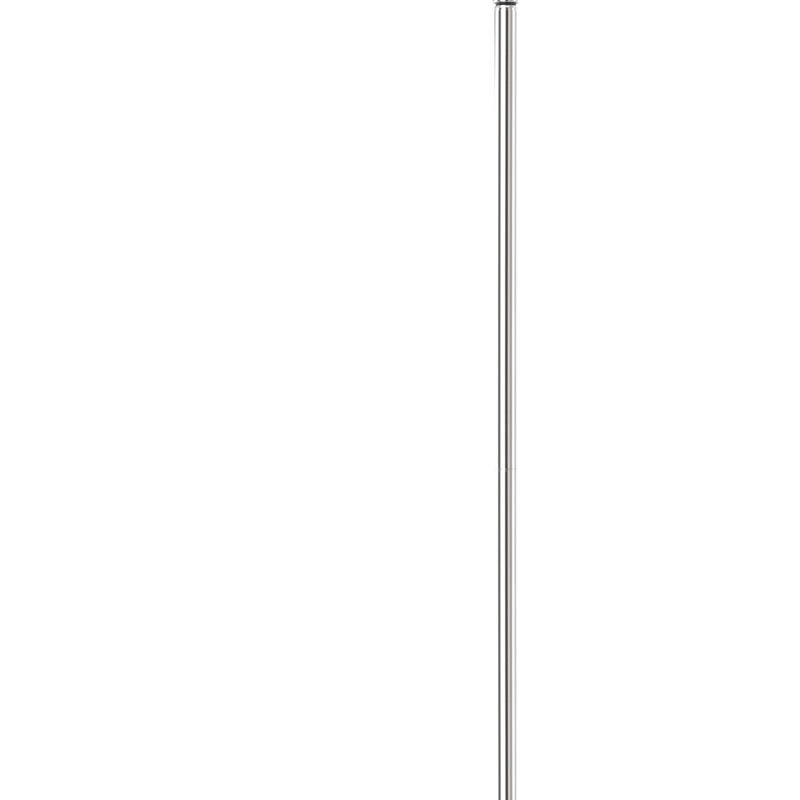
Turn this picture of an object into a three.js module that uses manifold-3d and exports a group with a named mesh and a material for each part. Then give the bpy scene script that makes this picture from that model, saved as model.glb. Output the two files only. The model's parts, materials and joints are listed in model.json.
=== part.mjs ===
// A sectional chrome flag pole on a round floor stand, with a thumb screw and a ball finial.
// Millimetres, +Z up. The origin is the middle of the face that stands on the floor.
import * as THREE from "three";
import { mergeVertices } from "three/addons/utils/BufferGeometryUtils.js";
import Module from "manifold-3d";

const wasm = await Module();
wasm.setup();

// ---------------------------------------------------------------- driving dimensions

const GAP = 0.3; // between pieces that rest on each other
const BASE_SIDES = 40; // facets round the base
const POLE_SIDES = 32; // facets round the pole, the socket and the finial
const SMALL_SIDES = 20; // facets round fasteners and inner pieces

// The pole: four tubes of one inch that screw together.
const POLE_R = 12.7;
const TUBE_WALL = 1.2;
const SECTION_LENGTH = 500; // from one joint ring's middle to the next
const RING_THICKNESS = 1.2;
const SEAM_HALF = RING_THICKNESS / 2 + GAP; // from a joint ring's middle to either tube
const INSERT_R = 11.2;
const INSERT_LENGTH = 30;
const JOINT_STUD_R = 6.9; // M14 thread
const JOINT_STUD_RISE = 18;
const JOINT_HOLE_R = 7.3;
const RING_HOLE_R = 8.2;

// The top of the pole, under the finial.
const PLUG_RING_HEIGHT = 2.8;
const PLUG_GROOVE_HEIGHT = 2.2;
const PLUG_GROOVE_R = 11.8;
const PLUG_RING_BEVEL = 1.3; // how far the ring narrows towards its top
const FINIAL_STUD_R = 4.9; // M10 thread
const FINIAL_STUD_RISE = 16;
const FINIAL_HOLE_R = 5.3;
const WASHER_R = 11; // a split spring washer
const WASHER_THICKNESS = 2.6;

// The finial.
const FINIAL_BASE_R = 14.3;
const FINIAL_FOOT_HEIGHT = 5.2; // the straight foot under the cove
const FINIAL_FOOT_ROUND = 1.6; // its lower edge
const FINIAL_COVE_R = 5;
const BALL_R = 25;
const BALL_WALL = 1.2;
const BALL_CENTRE = 45; // above the finial base's underside
const BALL_HOLE_R = 6.2;
const BALL_STUD_R = 2.9; // M6 thread
const BALL_STUD_HOLE_R = 3.3;

// The base.
const BASE_R = 150;
const RIM_BOTTOM = 5;
const RIM_TOP = 12;
const RIM_SHOULDER = 3.5; // radius of the rim's rounded edge
const DOME_R = 134; // where the dome begins
const STEP_R = 136.5; // where the rim's flat step ends
const DOME_EDGE = 17;
const DOME_TOP = 38; // height that the dome's curve would reach on the axis
const HUB_R = 36;
const COVER_WALL = 1.2;
const FLOOR_RING_HEIGHT = 4.7;
const PLATE_TOP = 7;
const PLATE_SCREW_CIRCLE_R = 80;
const PLATE_SCREW_R = 2.5; // M5
const TIE_BOLT_R = 6; // M12
const TIE_HOLE_R = 6.6;
const TIE_RECESS_R = 13;
const TIE_RECESS_TOP = 21;

// The socket.
const HUB_TOP = DOME_TOP - (DOME_TOP - DOME_EDGE) * (HUB_R / DOME_R) ** 2;
const FLANGE_BOTTOM = HUB_TOP + GAP;
const FLANGE_WEB = 3.2; // the flange's floor, clamped between the cover and the socket
const FLANGE_HEIGHT = 15;
const SOCKET_R = 17.5;
const SOCKET_BORE_R = 14.7;
const SOCKET_BOTTOM = FLANGE_BOTTOM + FLANGE_WEB + GAP;
const SOCKET_TOP = SOCKET_BOTTOM + 130;
const PLUG_HEIGHT = 22;
const BUSH_R = 14.4;
const BUSH_BORE_R = 13.1;
const BUSH_LENGTH = 34;
const BUSH_FLANGE_HEIGHT = 2;
const CAP_R = 20;
const CAP_MOUTH_R = 13.5;
const THRUST_PAD_HEIGHT = 4.5;
const THRUST_PAD_BOTTOM = SOCKET_BOTTOM + PLUG_HEIGHT + GAP;
const POLE_BOTTOM = THRUST_PAD_BOTTOM + THRUST_PAD_HEIGHT + GAP;

// The thumb screw, M8, which points along +X. Its distances are from the pole's axis.
const CLAMP_HEIGHT = SOCKET_TOP - 34;
const CLAMP_HOLE_R = 4.4;
const BOSS_R = 8.5;
const BOSS_END = 27;
const PAD_TIP = 12.95;
const PAD_R = 3.6;
const SCREW_START = 17.2;
const SCREW_R = 4;
const SCREW_END = 43;
const KNOB_START = 31;
const KNOB_END = 46;
const KNOB_R = 13.5;

// ---------------------------------------------------------------- materials

const finish = (color, roughness, metalness) =>
  new THREE.MeshStandardMaterial({ color, roughness, metalness });

const CHROME = finish(0xe6e7e8, 0.06, 1);
const TURNED_STEEL = finish(0xb4b6b8, 0.3, 1);
const ZINC = finish(0xb9bcc0, 0.4, 1);
const BLACK_STEEL = finish(0x1c1c1e, 0.4, 1);
const IRON = finish(0x2b2c2e, 0.7, 0.3);
const RUBBER = finish(0x151515, 0.75, 0);
const NYLON = finish(0xe4e2da, 0.45, 0);

// ---------------------------------------------------------------- shapes

// A solid of revolution about +Z. The profile is a list of [radius, height] that runs upwards on the
// outside. It starts and ends on the axis, or it is a ring's section, which is closed here.
function turned(profile, sides) {
  const points = profile.map(([r, z]) => new THREE.Vector2(r, z));
  const [first, last] = [points[0], points[points.length - 1]];
  const onAxis = first.x === 0 && last.x === 0;
  if (!onAxis) points.push(first.clone());
  return new THREE.LatheGeometry(points, sides).rotateX(Math.PI / 2);
}

// A plain ring or sleeve.
const sleeve = (inner, outer, bottom, top, sides) =>
  turned([[inner, bottom], [outer, bottom], [outer, top], [inner, top]], sides);

// A plain rod about +Z.
const rod = (radius, bottom, top, sides = SMALL_SIDES) =>
  turned([[0, bottom], [radius, bottom], [radius, top], [0, top]], sides);

// Points [radius, height] on an arc about a centre [radius, height], from one angle to another in
// degrees, where 0 points outwards and 90 points up.
function arc([r, z], radius, from, to, steps) {
  return Array.from({ length: steps + 1 }, (_, i) => {
    const angle = THREE.MathUtils.degToRad(from + ((to - from) * i) / steps);
    return [r + radius * Math.cos(angle), z + radius * Math.sin(angle)];
  });
}

function toSolid(geometry) {
  const bare = geometry.clone();
  bare.deleteAttribute("normal");
  bare.deleteAttribute("uv");
  const merged = mergeVertices(bare, 1e-4);
  return new wasm.Manifold(
    new wasm.Mesh({
      numProp: 3,
      vertProperties: merged.attributes.position.array,
      triVerts: new Uint32Array(merged.index.array),
    }),
  );
}

function fromSolid(solid) {
  const { vertProperties, triVerts } = solid.getMesh();
  const geometry = new THREE.BufferGeometry();
  geometry.setAttribute("position", new THREE.BufferAttribute(vertProperties, 3));
  geometry.setIndex(new THREE.BufferAttribute(triVerts, 1));
  geometry.computeVertexNormals();
  return geometry;
}

const cut = (body, ...tools) =>
  fromSolid(tools.reduce((left, tool) => left.subtract(toSolid(tool)), toSolid(body)));

const join = (body, other) => fromSolid(toSolid(body).add(toSolid(other)));

// A split spring washer about +Z, with its slanted split at an angle in degrees, where 0 is +X.
function springWasher(inner, outer, bottom, height, splitAngle) {
  const ring = sleeve(inner, outer, bottom, bottom + height, SMALL_SIDES);
  const split = new THREE.BoxGeometry(outer, 1.2, 4 * height);
  split.rotateX(THREE.MathUtils.degToRad(25));
  split.translate((inner + outer) / 2, 0, bottom + height / 2);
  return cut(ring, split.rotateZ(THREE.MathUtils.degToRad(splitAngle)));
}

function piece(name, geometry, material) {
  const mesh = new THREE.Mesh(geometry, material);
  mesh.name = name;
  return mesh;
}

// ---------------------------------------------------------------- base

// The height of the cover's outside on the dome.
const domeHeight = (r) => DOME_TOP - (DOME_TOP - DOME_EDGE) * (r / DOME_R) ** 2;

// Points down the dome from the hub to the rim's step, lowered by a distance.
function domeCurve(lowered, steps) {
  return Array.from({ length: steps + 1 }, (_, i) => {
    const r = HUB_R + ((DOME_R - HUB_R) * i) / steps;
    return [r, domeHeight(r) - lowered];
  });
}

const plateScrewAngles = [0, 1, 2].map((i) => Math.PI / 2 + (i * 2 * Math.PI) / 3);

function atPlateScrew(geometry, angle) {
  const x = PLATE_SCREW_CIRCLE_R * Math.cos(angle);
  const y = PLATE_SCREW_CIRCLE_R * Math.sin(angle);
  return geometry.translate(x, y, 0);
}

function floorRing() {
  const inner = 134.5;
  const outer = BASE_R - 1.7;
  const chamfer = 1.6;
  const profile = [
    [inner, 0],
    [outer - chamfer, 0],
    [outer, chamfer],
    [outer, FLOOR_RING_HEIGHT],
    [inner, FLOOR_RING_HEIGHT],
  ];
  return piece("floor_ring", turned(profile, BASE_SIDES), RUBBER);
}

function bottomPlate() {
  const disc = sleeve(15, BASE_R - 1.7, FLOOR_RING_HEIGHT + GAP, PLATE_TOP, BASE_SIDES);
  const holes = plateScrewAngles.map((angle) =>
    atPlateScrew(rod(PLATE_SCREW_R + GAP, 0, PLATE_TOP + 5), angle),
  );
  return piece("bottom_plate", cut(disc, ...holes), ZINC);
}

function plateScrew(index) {
  const headR = 4.6;
  const headBottom = 2.2;
  const headTop = FLOOR_RING_HEIGHT;
  const profile = [
    [0, headBottom],
    [headR - 1.2, headBottom],
    [headR, headBottom + 1.2],
    [headR, headTop],
    [PLATE_SCREW_R, headTop],
    [PLATE_SCREW_R, 16],
    [0, 16],
  ];
  const screw = atPlateScrew(turned(profile, SMALL_SIDES), plateScrewAngles[index]);
  return piece(`bottom_plate_screw_${index + 1}`, screw, ZINC);
}

function baseWeight() {
  const underCover = COVER_WALL + 2 * GAP;
  const bottom = PLATE_TOP + GAP;
  const profile = [
    [TIE_RECESS_R, bottom],
    [BASE_R - 3, bottom],
    [BASE_R - 3, RIM_TOP - 1],
    [STEP_R, RIM_TOP + RIM_SHOULDER - underCover],
    ...domeCurve(underCover, 4).reverse(),
    [TIE_HOLE_R, HUB_TOP - underCover],
    [TIE_HOLE_R, TIE_RECESS_TOP],
    [TIE_RECESS_R, TIE_RECESS_TOP],
  ];
  const holes = plateScrewAngles.map((angle) =>
    atPlateScrew(rod(PLATE_SCREW_R + GAP, 0, 18), angle),
  );
  return piece("base_weight", cut(turned(profile, BASE_SIDES), ...holes), IRON);
}

function baseCover() {
  const edge = [BASE_R - RIM_SHOULDER, RIM_TOP];
  const outside = [
    [BASE_R, RIM_BOTTOM],
    ...arc(edge, RIM_SHOULDER, 0, 90, 2),
    [STEP_R, RIM_TOP + RIM_SHOULDER],
    ...domeCurve(0, 6).reverse(),
    [TIE_HOLE_R, HUB_TOP],
  ];
  const inside = [
    [TIE_HOLE_R, HUB_TOP - COVER_WALL],
    ...domeCurve(COVER_WALL, 6),
    [STEP_R, RIM_TOP + RIM_SHOULDER - COVER_WALL],
    ...arc(edge, RIM_SHOULDER - COVER_WALL, 90, 0, 2),
    [BASE_R - COVER_WALL, RIM_BOTTOM],
  ];
  return piece("base_cover", turned([...outside, ...inside], BASE_SIDES), CHROME);
}

function tieWasher() {
  const ring = sleeve(TIE_HOLE_R, 12, TIE_RECESS_TOP - 2.7, TIE_RECESS_TOP - GAP, SMALL_SIDES);
  return piece("tie_washer", ring, ZINC);
}

function tieSpringWasher() {
  const height = 2.5;
  const bottom = TIE_RECESS_TOP - 3 - height;
  return piece("tie_spring_washer", springWasher(TIE_HOLE_R, 10.4, bottom, height, 0), ZINC);
}

function tieBolt() {
  const headTop = TIE_RECESS_TOP - 5.8;
  const headHeight = 7.5;
  const acrossCorners = 21.9;
  const head = new THREE.CylinderGeometry(acrossCorners / 2, acrossCorners / 2, headHeight, 6);
  head.rotateX(Math.PI / 2).translate(0, 0, headTop - headHeight / 2);
  const shank = rod(TIE_BOLT_R, headTop - 1, SOCKET_BOTTOM + PLUG_HEIGHT - 2);
  return piece("tie_bolt", join(head, shank), ZINC);
}

// ---------------------------------------------------------------- socket

function socketFlange() {
  const outer = 33;
  const bore = SOCKET_R + GAP;
  const bottom = FLANGE_BOTTOM;
  const web = bottom + FLANGE_WEB;
  const top = bottom + FLANGE_HEIGHT;
  const profile = [
    [TIE_HOLE_R, bottom],
    [outer, bottom],
    ...arc([outer - 2, bottom + 2.5], 2, 0, 90, 2),
    ...arc([outer - 2, top], top - bottom - 4.5, 270, 200, 3),
    [bore + 1.2, top],
    [bore, top],
    [bore, web],
    [TIE_HOLE_R, web],
  ];
  return piece("socket_flange", turned(profile, POLE_SIDES), CHROME);
}

function socketTube() {
  const wall = sleeve(SOCKET_BORE_R, SOCKET_R, SOCKET_BOTTOM, SOCKET_TOP, POLE_SIDES);
  const hole = rod(CLAMP_HOLE_R, SOCKET_BORE_R - 4, SOCKET_R + 4);
  hole.rotateY(Math.PI / 2).translate(0, 0, CLAMP_HEIGHT);
  return piece("socket_tube", cut(wall, hole), CHROME);
}

function socketPlug() {
  const plug = sleeve(TIE_BOLT_R + GAP, BUSH_R, SOCKET_BOTTOM, SOCKET_BOTTOM + PLUG_HEIGHT, SMALL_SIDES);
  return piece("socket_plug", plug, TURNED_STEEL);
}

function lowerBush() {
  const bottom = SOCKET_BOTTOM + PLUG_HEIGHT + GAP;
  const bush = sleeve(BUSH_BORE_R, BUSH_R, bottom, bottom + BUSH_LENGTH, POLE_SIDES);
  return piece("socket_bush_lower", bush, NYLON);
}

function upperBush() {
  const flangeBottom = SOCKET_TOP + GAP;
  const flangeTop = flangeBottom + BUSH_FLANGE_HEIGHT;
  const profile = [
    [BUSH_BORE_R, SOCKET_TOP - 20],
    [BUSH_R, SOCKET_TOP - 20],
    [BUSH_R, flangeBottom],
    [SOCKET_R - 0.4, flangeBottom],
    [SOCKET_R - 0.4, flangeTop],
    [BUSH_BORE_R, flangeTop],
  ];
  return piece("socket_bush_upper", turned(profile, POLE_SIDES), NYLON);
}

function socketCap() {
  const bore = SOCKET_R + GAP;
  const bottom = SOCKET_TOP - 14;
  const ledge = SOCKET_TOP + BUSH_FLANGE_HEIGHT + 2 * GAP;
  const top = ledge + 4;
  const round = 2.5;
  const profile = [
    [bore, bottom],
    [CAP_R, bottom],
    ...arc([CAP_R - round, top - round], round, 0, 90, 3),
    [CAP_MOUTH_R, top],
    [CAP_MOUTH_R, ledge],
    [bore, ledge],
  ];
  return piece("socket_cap", turned(profile, POLE_SIDES), CHROME);
}

function clampBoss() {
  const boss = sleeve(CLAMP_HOLE_R, BOSS_R, SOCKET_R - 6, BOSS_END, SMALL_SIDES);
  boss.rotateY(Math.PI / 2);
  const tube = rod(SOCKET_R + 0.1, -30, 30, POLE_SIDES);
  const mesh = piece("clamp_boss", cut(boss, tube), CHROME);
  mesh.position.z = CLAMP_HEIGHT;
  return mesh;
}

// ---------------------------------------------------------------- thumb screw, built along +Z

function clampPad() {
  const end = SCREW_START - GAP;
  const profile = [
    [0, PAD_TIP],
    [PAD_R - 0.6, PAD_TIP],
    [PAD_R, PAD_TIP + 0.6],
    [PAD_R, end],
    [0, end],
  ];
  return piece("clamp_pad", turned(profile, SMALL_SIDES), NYLON);
}

function clampScrew() {
  return piece("clamp_screw", rod(SCREW_R, SCREW_START, SCREW_END), TURNED_STEEL);
}

function clampKnob() {
  const bore = SCREW_R + GAP;
  const seat = SCREW_END + GAP;
  const edge = 1.4;
  const profile = [
    [bore, KNOB_START],
    [KNOB_R - 4, KNOB_START],
    [KNOB_R - edge, KNOB_START + 3],
    [KNOB_R, KNOB_START + 3 + edge],
    [KNOB_R, KNOB_END - 3],
    [KNOB_R - 2, KNOB_END - 1],
    [0, KNOB_END],
    [0, seat],
    [bore, seat],
  ];
  return piece("clamp_knob", turned([...profile, profile[0]], POLE_SIDES), CHROME);
}

function thumbScrew() {
  const group = new THREE.Group();
  group.rotation.y = Math.PI / 2;
  group.position.z = CLAMP_HEIGHT;
  return group.add(clampPad(), clampScrew(), clampKnob());
}

// ---------------------------------------------------------------- pole
// Each section is built from its own lower end, where z is 0, to SECTION_LENGTH.

function thrustPad() {
  const top = THRUST_PAD_BOTTOM + THRUST_PAD_HEIGHT;
  return piece("thrust_pad", rod(12.3, THRUST_PAD_BOTTOM, top, POLE_SIDES), NYLON);
}

const FOOT_FLANGE = 5;

function poleFoot() {
  const chamfer = 1.5;
  const profile = [
    [0, 0],
    [POLE_R - chamfer, 0],
    [POLE_R, chamfer],
    [POLE_R, FOOT_FLANGE],
    [INSERT_R, FOOT_FLANGE],
    [INSERT_R, INSERT_LENGTH],
    [0, INSERT_LENGTH],
  ];
  return piece("pole_foot", turned(profile, POLE_SIDES), TURNED_STEEL);
}

function poleTube(number, bottom, top) {
  const tube = sleeve(POLE_R - TUBE_WALL, POLE_R, bottom, top, POLE_SIDES);
  return piece(`pole_tube_${number}`, tube, CHROME);
}

function maleInsert(number) {
  const top = SECTION_LENGTH - SEAM_HALF;
  const tip = SECTION_LENGTH + JOINT_STUD_RISE;
  const chamfer = 1.2;
  const profile = [
    [0, top - INSERT_LENGTH],
    [INSERT_R, top - INSERT_LENGTH],
    [INSERT_R, top],
    [JOINT_STUD_R, top],
    [JOINT_STUD_R, tip - chamfer],
    [JOINT_STUD_R - chamfer, tip],
    [0, tip],
  ];
  return piece(`male_insert_${number}`, turned(profile, SMALL_SIDES), TURNED_STEEL);
}

function femaleInsert(number) {
  const insert = sleeve(JOINT_HOLE_R, INSERT_R, SEAM_HALF, SEAM_HALF + INSERT_LENGTH, SMALL_SIDES);
  return piece(`female_insert_${number}`, insert, TURNED_STEEL);
}

function jointRing(number) {
  const ring = sleeve(RING_HOLE_R, POLE_R - 0.1, -RING_THICKNESS / 2, RING_THICKNESS / 2, POLE_SIDES);
  return piece(`joint_ring_${number}`, ring, CHROME);
}

function topPlug() {
  const ringBottom = SECTION_LENGTH - PLUG_RING_HEIGHT;
  const tubeTop = ringBottom - PLUG_GROOVE_HEIGHT;
  const tip = SECTION_LENGTH + FINIAL_STUD_RISE;
  const edge = 0.5;
  const profile = [
    [0, tubeTop - INSERT_LENGTH],
    [INSERT_R, tubeTop - INSERT_LENGTH],
    [INSERT_R, tubeTop + GAP],
    [PLUG_GROOVE_R, tubeTop + GAP],
    [PLUG_GROOVE_R, ringBottom],
    [POLE_R, ringBottom],
    [POLE_R, ringBottom + edge],
    [POLE_R - PLUG_RING_BEVEL, SECTION_LENGTH],
    [FINIAL_STUD_R, SECTION_LENGTH],
    [FINIAL_STUD_R, tip - 1],
    [FINIAL_STUD_R - 1, tip],
    [0, tip],
  ];
  return piece("top_plug", turned(profile, POLE_SIDES), CHROME);
}

// The section with this number, counted from the floor, where its lower end stands in the assembly.
function poleSection(number) {
  const lowest = number === 1;
  const highest = number === 4;
  const tubeBottom = lowest ? FOOT_FLANGE + GAP : SEAM_HALF;
  const endPiece = highest ? PLUG_RING_HEIGHT + PLUG_GROOVE_HEIGHT : SEAM_HALF;
  const group = new THREE.Group();
  group.position.z = POLE_BOTTOM + (number - 1) * SECTION_LENGTH;
  group.add(lowest ? poleFoot() : femaleInsert(number));
  group.add(poleTube(number, tubeBottom, SECTION_LENGTH - endPiece));
  group.add(highest ? topPlug() : maleInsert(number));
  if (!highest) {
    const ring = jointRing(number);
    ring.position.z = SECTION_LENGTH;
    group.add(ring);
  }
  return group;
}

// ---------------------------------------------------------------- finial
// Heights are above the washer's underside, or above the finial base's underside.

function finialWasher() {
  const washer = springWasher(FINIAL_HOLE_R, WASHER_R, 0, WASHER_THICKNESS, 90);
  return piece("finial_washer", washer, BLACK_STEEL);
}

function finialBase() {
  const upperRound = 1.2;
  const neckR = FINIAL_BASE_R - 2.6 - FINIAL_COVE_R;
  const coveCentre = [neckR + FINIAL_COVE_R, FINIAL_FOOT_HEIGHT + FINIAL_COVE_R];
  const lowerEdge = [FINIAL_BASE_R - FINIAL_FOOT_ROUND, FINIAL_FOOT_ROUND];
  const upperEdge = [FINIAL_BASE_R - upperRound, FINIAL_FOOT_HEIGHT - upperRound];
  const ballGap = BALL_R + GAP;
  const seatR = 11.5;
  const seat = arc([0, BALL_CENTRE], ballGap, -60, -82, 3).filter(([r]) => r < seatR);
  const seatEdge = BALL_CENTRE - Math.sqrt(ballGap ** 2 - seatR ** 2);
  const profile = [
    [FINIAL_HOLE_R, 0],
    ...arc(lowerEdge, FINIAL_FOOT_ROUND, -90, 0, 3),
    ...arc(upperEdge, upperRound, 0, 90, 2),
    ...arc(coveCentre, FINIAL_COVE_R, 255, 180, 3),
    [neckR, 13],
    ...arc([neckR + 1, 15.2], 2.4, -60, 60, 3),
    [7.4, 18.4],
    [seatR - 1, seatEdge - 1.6],
    [seatR, seatEdge],
    ...seat,
    [BALL_STUD_HOLE_R, BALL_CENTRE - Math.sqrt(ballGap ** 2 - BALL_STUD_HOLE_R ** 2)],
    [BALL_STUD_HOLE_R, 14],
    [FINIAL_HOLE_R, 14],
  ];
  return piece("finial_base", turned(profile, POLE_SIDES), CHROME);
}

function finialStud() {
  return piece("finial_stud", rod(BALL_STUD_R, 14.4, 32), TURNED_STEEL);
}

function finialBallInsert() {
  const insert = sleeve(BALL_STUD_HOLE_R, BALL_HOLE_R - GAP, 20.9, 35, SMALL_SIDES);
  return piece("finial_ball_insert", insert, TURNED_STEEL);
}

function finialBall() {
  const centre = [0, BALL_CENTRE];
  const holeAngle = (radius) => -THREE.MathUtils.radToDeg(Math.acos(BALL_HOLE_R / radius));
  const innerR = BALL_R - BALL_WALL;
  const inside = arc(centre, innerR, 90, holeAngle(innerR), 7);
  const outside = arc(centre, BALL_R, holeAngle(BALL_R), 90, 9);
  inside[0][0] = 0;
  outside[outside.length - 1][0] = 0;
  return piece("finial_ball", turned([...inside, ...outside], POLE_SIDES), CHROME);
}

function finial() {
  const group = new THREE.Group();
  group.position.z = POLE_BOTTOM + 4 * SECTION_LENGTH + GAP;
  const turning = new THREE.Group();
  turning.position.z = WASHER_THICKNESS + GAP;
  turning.add(finialBase(), finialStud(), finialBallInsert(), finialBall());
  return group.add(finialWasher(), turning);
}

// ---------------------------------------------------------------- assembly

const stand = new THREE.Group();
stand.add(floorRing(), bottomPlate(), plateScrew(0), plateScrew(1), plateScrew(2));
stand.add(baseWeight(), baseCover(), tieWasher(), tieSpringWasher(), tieBolt());
stand.add(socketFlange(), socketTube(), socketPlug(), lowerBush(), upperBush(), socketCap());
stand.add(clampBoss());

const group = new THREE.Group();
group.add(stand, thumbScrew(), thrustPad());
group.add(...[1, 2, 3, 4].map(poleSection));
group.add(finial());

export default group;
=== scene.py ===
"""The looks of a sectional chrome flag pole on a round floor stand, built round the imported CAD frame.

Profiles are in millimetres, as [radius, height] about the pole's axis. Blender's own unit is the metre.
"""

import json
import math

import bpy
from mathutils import Matrix, Vector


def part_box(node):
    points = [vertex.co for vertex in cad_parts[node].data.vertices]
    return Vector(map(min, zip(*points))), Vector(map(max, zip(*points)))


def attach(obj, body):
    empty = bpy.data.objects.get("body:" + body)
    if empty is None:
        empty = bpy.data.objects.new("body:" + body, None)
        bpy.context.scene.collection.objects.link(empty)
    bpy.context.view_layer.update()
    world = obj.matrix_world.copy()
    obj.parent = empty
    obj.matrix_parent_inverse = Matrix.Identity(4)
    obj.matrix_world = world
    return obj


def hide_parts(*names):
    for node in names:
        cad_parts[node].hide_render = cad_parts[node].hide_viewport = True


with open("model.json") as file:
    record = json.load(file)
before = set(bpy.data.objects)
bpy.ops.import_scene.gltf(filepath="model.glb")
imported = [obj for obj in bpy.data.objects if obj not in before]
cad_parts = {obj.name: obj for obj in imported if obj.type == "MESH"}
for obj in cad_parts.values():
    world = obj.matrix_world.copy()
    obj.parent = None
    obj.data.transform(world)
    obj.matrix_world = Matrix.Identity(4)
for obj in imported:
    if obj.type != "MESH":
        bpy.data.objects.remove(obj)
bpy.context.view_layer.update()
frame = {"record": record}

MM = 0.001
TAU = 2 * math.pi
SEGMENTS = 128  # round the pole and the fittings
WIDE_SEGMENTS = 256  # round the base
SHARP_ANGLE = math.radians(35)  # edges that turn by more than this are shaded sharp
TINY = 1e-6  # millimetres that make no difference

# Sizes that several pieces share, in millimetres. Holes and bores are given by their radius.
CONTACT = 0.02  # left between pieces that touch
CAD_GAP = 0.3  # left between the CAD's pieces; the finer pieces close it
TUBE_WALL = 1.2
PLUG_RADIUS = 11.45  # of the plugs in the pole's tubes
PLUG_CORNER = 0.8  # how round the plugs' inner ends are
PLUG_DEPTH = 0.05  # how far the plugs' faces lie inside the tubes' ends
BUSH_BORE = 13.1
CLAMP_HOLE = 4.4
TIE_HOLE = 6.6
FINIAL_STUD = 16  # how far it sticks out of the pole
FINIAL_HOLE = 5.3
BALL_STUD_HOLE = 3.3
BALL_HOLE = 6.2
HUB_RADIUS = 36  # the flat middle of the base
DOME_RADIUS = 134  # where the base's dome begins

# The body that each CAD node rides on.
BODY_OF = {
    node: body
    for body, nodes in frame["record"]["behaviour"]["bodies"].items()
    for node in nodes
}


# -------- sizes from the frame


def low(node):
    """The node's lowest height, in millimetres."""
    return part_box(node)[0].z / MM


def high(node):
    """The node's highest height, in millimetres."""
    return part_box(node)[1].z / MM


def span(node):
    """The node's lowest and highest height, in millimetres."""
    return low(node), high(node)


def outer(node):
    """The node's radius about the pole's axis, in millimetres."""
    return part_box(node)[1].y / MM


def extent(node):
    """The node's lowest and highest height and its radius, in millimetres."""
    return low(node), high(node), outer(node)


# -------- outlines


def fillet(corners, closed=True):
    """An outline whose corners [radius, height, rounding] are rounded by arcs.

    A short straight piece is kept beside each arc, so that the faces next to it stay flat when shaded.
    """
    points = []
    count = len(corners)
    for i, (r, z, rounding) in enumerate(corners):
        here = Vector((r, z))
        ends = not closed and i in (0, count - 1)
        if ends or rounding <= 0:
            points.append((r, z))
            continue
        back = Vector(corners[i - 1][:2]) - here
        ahead = Vector(corners[(i + 1) % count][:2]) - here
        points += rounded_corner(here, back, ahead, rounding)
    return points


MOST_OF_SIDE = 0.45  # how much of a side one rounded corner may take
SUPPORT_OF_REACH = 0.4  # how long the straight piece beside an arc may be, by the corner's size
SUPPORT_OF_SIDE = 0.05  # and by the side's length
ARC_STEP = math.radians(15)


def rounded_corner(corner, back, ahead, rounding):
    """The points of one rounded corner, between the ways back and ahead to its neighbours."""
    angle = back.angle(ahead)
    shorter = min(back.length, ahead.length)
    reach = min(rounding / math.tan(angle / 2), MOST_OF_SIDE * shorter)
    radius = reach * math.tan(angle / 2)
    support = min(SUPPORT_OF_REACH * reach, SUPPORT_OF_SIDE * shorter)
    back_way, ahead_way = back.normalized(), ahead.normalized()
    start, end = corner + back_way * reach, corner + ahead_way * reach
    middle = corner + (back_way + ahead_way).normalized() * (radius / math.sin(angle / 2))
    bend = math.pi - angle
    steps = max(2, math.ceil(bend / ARC_STEP))
    first, last = start - middle, end - middle
    arc = []
    for k in range(steps + 1):
        share = k / steps
        a, b = math.sin((1 - share) * bend), math.sin(share * bend)
        arc.append(middle + (first * a + last * b) / math.sin(bend))
    before = start + back_way * support
    after = end + ahead_way * support
    return [tuple(p) for p in (before, *arc, after)]


def arc_points(centre, radius, start, end, steps):
    """Points on an arc about [radius, height], in degrees: 0 points outwards and 90 up."""
    made = []
    for k in range(steps + 1):
        angle = math.radians(start + (end - start) * k / steps)
        made.append((centre[0] + radius * math.cos(angle), centre[1] + radius * math.sin(angle)))
    return made


def dense(start, end, step):
    """Points along a straight line, no further apart than step."""
    start, end = Vector(start), Vector(end)
    steps = max(1, math.ceil((end - start).length / step))
    return [tuple(start.lerp(end, k / steps)) for k in range(steps + 1)]


def sleeve(bore, radius, bottom, top, roundings):
    """The outline of a plain sleeve. The roundings go from its lower inner corner, anticlockwise."""
    corners = [(bore, bottom), (radius, bottom), (radius, top), (bore, top)]
    return fillet([[*corner, rounding] for corner, rounding in zip(corners, roundings)])


def threaded_end(radius, start, end, tip, chamfer, step):
    """The outline of a stud from its thread's start to its tip, in steps fine enough for the thread."""
    return [*dense((radius, start), (radius, end), step), (radius - chamfer, tip), (0, tip)]


def angle_below(width, radius):
    """The angle below the level, in degrees, at which a ball's surface is at the given width."""
    return -math.degrees(math.acos(width / radius))


# -------- meshes


def mesh_from(name, vertices, faces):
    """A smooth-shaded mesh of points in millimetres."""
    mesh = bpy.data.meshes.new(name)
    mesh.from_pydata([Vector(v) * MM for v in vertices], [], faces)
    mesh.validate()
    mesh.polygons.foreach_set("use_smooth", [True] * len(mesh.polygons))
    mesh.set_sharp_from_angle(angle=SHARP_ANGLE)
    return mesh


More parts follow.
